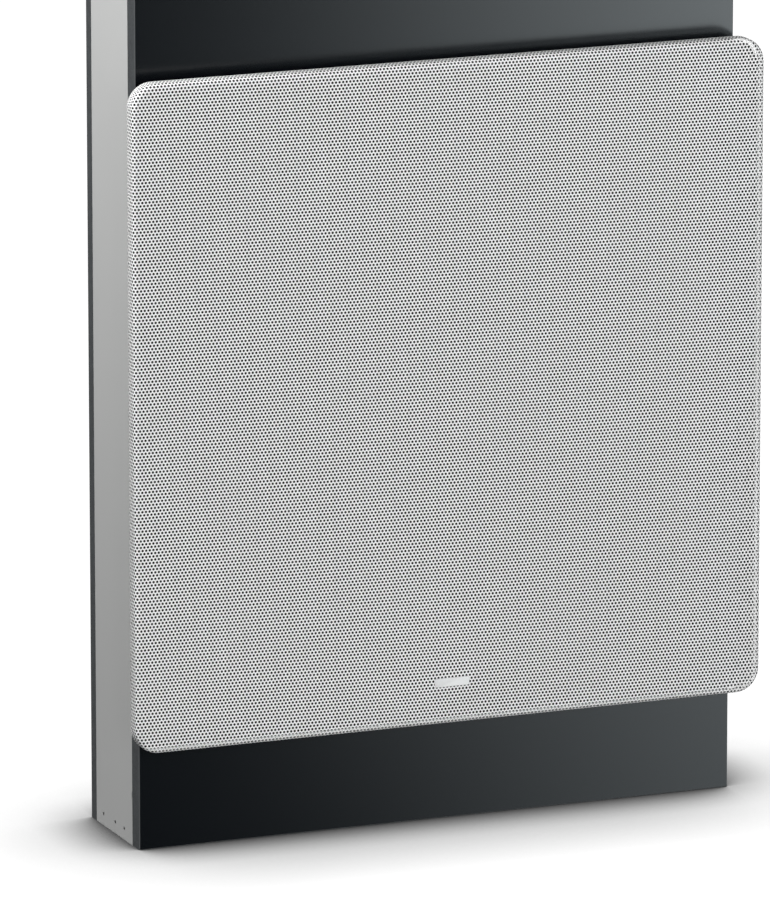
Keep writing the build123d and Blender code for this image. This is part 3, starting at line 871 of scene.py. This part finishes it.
def softRing(name, section, size, mat, node):
    sweep = 2 * math.pi / size["sectors"]
    for sector in range(size["sectors"]):
        angle = sector * sweep
        piece = ringSector(f"{name}{sector + 1}", section, angle, sweep, 6, mat)
        flexing(piece, node)


softRing("surroundRoll", rollSection(), roll, rubberMat, "surround")
softRing("spiderWave", webSection(), web, treatedMat, "spider")
print("soft rings done")


# Cloth behind the perforated sheet
def scrimSheet():
    low, high = nodeSize("grille_scrim")
    middle = (low + high) / 2
    half = (high.x - low.x) / 2
    outline = roundedOutline(half, 0.0115, 8)
    verts = [(middle.x + x, middle.y, middle.z + z) for x, z in outline]
    sheet = makeObject("scrimCloth", verts, [tuple(range(len(verts)))], scrimMat)
    settle(sheet, "grille_panel", "black_cloth", "grille_scrim")


scrimSheet()


# Wadding: a loose, lumpy block
def waddingBlock():
    low, high = nodeSize("wadding")
    bm = bmesh.new()
    bmesh.ops.create_cube(bm, size=1.0)
    bmesh.ops.subdivide_edges(bm, edges=bm.edges, cuts=28, use_grid_fill=True)
    middle = (low + high) / 2
    half = (high - low) / 2
    for vert in bm.verts:
        unit = vert.co * 2
        rounded = unit.copy()
        longest = max(abs(unit.x), abs(unit.y), abs(unit.z))
        ball = unit.normalized() * longest
        rounded = unit.lerp(ball, 0.10)
        spot = Vector([rounded[i] * half[i] for i in range(3)])
        lump = noise.noise(spot * 22) * 0.5 + noise.noise(spot * 70) * 0.25
        shrink = 1 - 0.018 * (1 + lump) - abs(lump) * 0.012
        fluff = noise.noise_vector(spot * 160) * 0.0009
        floor = -half.z
        spot = Vector((spot.x * shrink, spot.y * (shrink - 0.02), spot.z * shrink)) + fluff
        spot.z = max(spot.z, floor)
        vert.co = middle + spot
    block = fromBmesh("waddingLoose", bm, waddingMat, smooth=True)
    settle(block, "cabinet", "polyester", "wadding")


waddingBlock()


def smoothCopy(node, mat, degrees=32):
    # The solid's own mesh with its seams welded, so that round faces shade round
    bm = bmesh.new()
    bm.from_mesh(nodes[node].data)
    bmesh.ops.remove_doubles(bm, verts=bm.verts, dist=1e-6)
    return shadedByAngle(fromBmesh(node + "Smooth", bm, mat), degrees)


smoothNodes = {
    "driver_basket": ("cabinet", "dark_steel"),
    "driver_gasket": ("cabinet", "foam"),
    "terminal_cup": ("cabinet", "black_plastic"),
    "bezel_frame": ("cabinet", "black_plastic"),
    "grille_magnets": ("cabinet", "nickel"),
    "grille_badge": ("grille_panel", "badge_plate"),
    "side_pins": ("cabinet", "zinc_steel"),
    "cone": ("cone_group", "pulp"),
    "coil_former": ("cone_group", "film"),
    "voice_coil": ("cone_group", "copper"),
    "top_plate": ("cabinet", "zinc_steel"),
    "magnet_ring": ("cabinet", "ferrite"),
    "yoke": ("cabinet", "zinc_steel"),
    "post_nuts": ("cabinet", "zinc_steel"),
    "wire_red": ("cabinet", "red_cover"),
    "wire_black": ("cabinet", "black_cover"),
}
for node, (body, slotName) in smoothNodes.items():
    settle(smoothCopy(node, finishes[node]), body, slotName, node)

leads = smoothCopy("tinsel_leads", copperMat)
flexing(leads, "tinsel_leads")


# Dust cap: a pressed dome in place of the solid's cut cone
def dustCap():
    low, high = nodeSize("dust_cap")
    radius = (high.x - low.x) / 2
    rise = high.y - low.y
    steps = 14
    angles = [math.pi / 2 * k / steps for k in range(steps)]
    outline = [(radius * math.cos(a), rise * math.sin(a)) for a in angles]
    outline += [(radius * 0.02, rise)]
    inner = [(max(r - 0.001, 0.0005), max(h - 0.001, 0)) for r, h in outline[::-1]]
    bm = bmesh.new()
    turned(bm, outline + inner, ((low.x + high.x) / 2, high.y, (low.z + high.z) / 2), -1, 64, hollow=True)
    settle(shadedByAngle(fromBmesh("dustCapDome", bm, pulpMat), 60), "cone_group", "pulp", "dust_cap")


dustCap()
print("inner pieces done")

# Camera, at the photograph's angle
camera = bpy.data.cameras.new("camera")
cameraObject = bpy.data.objects.new("camera", camera)
bpy.context.scene.collection.objects.link(cameraObject)
view = {
    "place": (-2.4215, -5.9269, 1.76),
    "yaw": 22.069,
    "pitch": 13.333,
    "roll": 0.015,
    "focalPixels": 9883,
    "heightPixels": 900,
}
cameraObject.location = view["place"]
cameraObject.rotation_euler = (
    math.radians(90 - view["pitch"]),
    math.radians(view["roll"]),
    math.radians(-view["yaw"]),
)
camera.sensor_width = 36.0
camera.lens = view["focalPixels"] / view["heightPixels"] * camera.sensor_width
camera.clip_end = 100
bpy.context.scene.camera = cameraObject

# Floor: white to the camera, with a shadow painted into its glow from ambient occlusion where the object is
# close, and out of the board's reflections
def floorMaterial():
    mat = bpy.data.materials.new("PaleFloor")
    mat.use_nodes = True
    n, l = mat.node_tree.nodes, mat.node_tree.links
    n.clear()
    out = n.new("ShaderNodeOutputMaterial")
    near = n.new("ShaderNodeAmbientOcclusion")
    near.inputs["Distance"].default_value = 0.05
    near.samples = 16
    away = n.new("ShaderNodeMapRange")
    away.inputs["From Min"].default_value = 0.48
    away.inputs["From Max"].default_value = 0.995
    curve = n.new("ShaderNodeMath")
    curve.operation = "POWER"
    curve.inputs[1].default_value = 0.62
    level = n.new("ShaderNodeMapRange")
    level.inputs["To Min"].default_value = 0.0
    level.inputs["To Max"].default_value = 1.25
    wide = n.new("ShaderNodeAmbientOcclusion")
    wide.inputs["Distance"].default_value = 0.14
    wide.inputs["Normal"].default_value = (0.68, 0.52, 0.50)  # leans so that the painted shadow falls only to the front and left
    wide.samples = 16
    soft = n.new("ShaderNodeMapRange")
    soft.inputs["From Min"].default_value = 0.4
    soft.inputs["From Max"].default_value = 0.98
    soft.inputs["To Min"].default_value = 0.36
    soft.inputs["To Max"].default_value = 1.0
    strength = n.new("ShaderNodeMath")
    strength.operation = "MULTIPLY"
    glow = n.new("ShaderNodeEmission")
    plain = n.new("ShaderNodeBsdfDiffuse")
    plain.inputs["Color"].default_value = (0.15, 0.15, 0.15, 1)
    path = n.new("ShaderNodeLightPath")
    share = n.new("ShaderNodeMath")
    share.operation = "MULTIPLY"
    share.inputs[1].default_value = 0.85
    mix = n.new("ShaderNodeMixShader")
    through = n.new("ShaderNodeBsdfTransparent")
    last = n.new("ShaderNodeMixShader")
    l.new(near.outputs["AO"], away.inputs["Value"])
    l.new(away.outputs["Result"], curve.inputs[0])
    l.new(curve.outputs["Value"], level.inputs["Value"])
    l.new(wide.outputs["AO"], soft.inputs["Value"])
    l.new(level.outputs["Result"], strength.inputs[0])
    l.new(soft.outputs["Result"], strength.inputs[1])
    l.new(strength.outputs["Value"], glow.inputs["Strength"])
    l.new(path.outputs["Is Camera Ray"], share.inputs[0])
    l.new(share.outputs["Value"], mix.inputs["Fac"])
    l.new(plain.outputs["BSDF"], mix.inputs[1])
    l.new(glow.outputs["Emission"], mix.inputs[2])
    l.new(path.outputs["Is Glossy Ray"], last.inputs["Fac"])
    l.new(mix.outputs["Shader"], last.inputs[1])
    l.new(through.outputs["BSDF"], last.inputs[2])
    l.new(last.outputs["Shader"], out.inputs["Surface"])
    return mat


floorCorners = [(-12, -12, 0), (12, -12, 0), (12, 12, 0), (-12, 12, 0)]
floor = makeObject("floor", floorCorners, [(0, 1, 2, 3)], floorMaterial())

# World: plain soft light, white behind the object
world = bpy.data.worlds.new("studio")
bpy.context.scene.world = world
world.use_nodes = True
wn, wl = world.node_tree.nodes, world.node_tree.links
background = wn["Background"]
background.inputs["Color"].default_value = (1, 1, 1, 1)
worldPath = wn.new("ShaderNodeLightPath")
seen = wn.new("ShaderNodeMath")
seen.operation = "MAXIMUM"
level = wn.new("ShaderNodeMapRange")
level.inputs["To Min"].default_value = 0.16
level.inputs["To Max"].default_value = 1.0
coord = wn.new("ShaderNodeTexCoord")
split = wn.new("ShaderNodeSeparateXYZ")
upward = wn.new("ShaderNodeMapRange")
upward.inputs["From Min"].default_value = -0.05
upward.inputs["From Max"].default_value = 0.05
upward.inputs["To Min"].default_value = 0.2
upward.inputs["To Max"].default_value = 1.0
mirrored = wn.new("ShaderNodeMath")
mirrored.operation = "MULTIPLY"
most = wn.new("ShaderNodeMath")
most.operation = "MAXIMUM"
wl.new(coord.outputs["Generated"], split.inputs["Vector"])
wl.new(split.outputs["Z"], upward.inputs["Value"])
wl.new(worldPath.outputs["Is Glossy Ray"], mirrored.inputs[0])
wl.new(upward.outputs["Result"], mirrored.inputs[1])
wl.new(worldPath.outputs["Is Camera Ray"], seen.inputs[0])
wl.new(worldPath.outputs["Is Transmission Ray"], seen.inputs[1])
wl.new(seen.outputs["Value"], most.inputs[0])
wl.new(mirrored.outputs["Value"], most.inputs[1])
wl.new(most.outputs["Value"], level.inputs["Value"])
wl.new(level.outputs["Result"], background.inputs["Strength"])


def lamp(name, place, target, size, power):
    data = bpy.data.lights.new(name, "AREA")
    data.shape = "RECTANGLE"
    data.size = size[0]
    data.size_y = size[1]
    data.energy = power
    obj = bpy.data.objects.new(name, data)
    bpy.context.scene.collection.objects.link(obj)
    obj.location = place
    obj.rotation_euler = (Vector(target) - Vector(place)).to_track_quat("-Z", "Y").to_euler()
    obj.visible_glossy = False
    return obj


lamp("frontLamp", (-0.3, -4.5, 1.1), (0, 0, 0.35), (2.0, 2.0), 150)
lamp("sideLamp", (-0.95, 0.0, 1.35), (-0.21, 0.0, 0.6), (0.5, 0.5), 17.8)


def softCard():
    # Graded white card in front and to the right, seen only in glossy reflections
    mat = bpy.data.materials.new("SoftCard")
    mat.use_nodes = True
    n, l = mat.node_tree.nodes, mat.node_tree.links
    n.clear()
    out = n.new("ShaderNodeOutputMaterial")
    glow = n.new("ShaderNodeEmission")
    coord = n.new("ShaderNodeTexCoord")
    split = n.new("ShaderNodeSeparateXYZ")
    across = n.new("ShaderNodeMapRange")
    across.inputs["From Min"].default_value = 0.33
    across.inputs["From Max"].default_value = 0.95
    curve = n.new("ShaderNodeMath")
    curve.operation = "POWER"
    curve.inputs[1].default_value = 1.35
    upward = n.new("ShaderNodeMapRange")
    upward.inputs["From Min"].default_value = -0.35
    upward.inputs["From Max"].default_value = 0.30
    upward.inputs["To Min"].default_value = 2.75
    upward.inputs["To Max"].default_value = 5.6
    both = n.new("ShaderNodeMath")
    both.operation = "MULTIPLY"
    fall = n.new("ShaderNodeMapRange")  # dimmer where the floor's shade is mirrored
    fall.inputs["From Min"].default_value = -0.42
    fall.inputs["From Max"].default_value = -0.345
    fall.inputs["To Min"].default_value = -0.5
    fall.inputs["To Max"].default_value = 0.0
    dimmed = n.new("ShaderNodeMath")
    dimmed.operation = "ADD"
    least = n.new("ShaderNodeMath")
    least.operation = "MAXIMUM"
    least.inputs[1].default_value = 0.0
    glow.inputs["Color"].default_value = (0.91, 1.0, 1.03, 1)
    l.new(coord.outputs["Object"], split.inputs["Vector"])
    l.new(split.outputs["X"], across.inputs["Value"])
    l.new(split.outputs["Z"], upward.inputs["Value"])
    l.new(across.outputs["Result"], curve.inputs[0])
    l.new(curve.outputs["Value"], both.inputs[0])
    l.new(upward.outputs["Result"], both.inputs[1])
    l.new(split.outputs["Z"], fall.inputs["Value"])
    l.new(both.outputs["Value"], dimmed.inputs[0])
    l.new(fall.outputs["Result"], dimmed.inputs[1])
    l.new(dimmed.outputs["Value"], least.inputs[0])
    l.new(least.outputs["Value"], glow.inputs["Strength"])
    l.new(glow.outputs["Emission"], out.inputs["Surface"])
    y = -1.386
    corners = [(-1.6, y, -2.4), (2.6, y, -2.4), (2.6, y, 2.6), (-1.6, y, 2.6)]
    card = makeObject("softCard", corners, [(0, 1, 2, 3)], mat)
    card.visible_camera = False
    card.visible_diffuse = False
    card.visible_shadow = False
    card.visible_transmission = False


softCard()
print("stage done")

scene = bpy.context.scene
scene.view_settings.view_transform = "Standard"
scene.view_settings.look = "None"
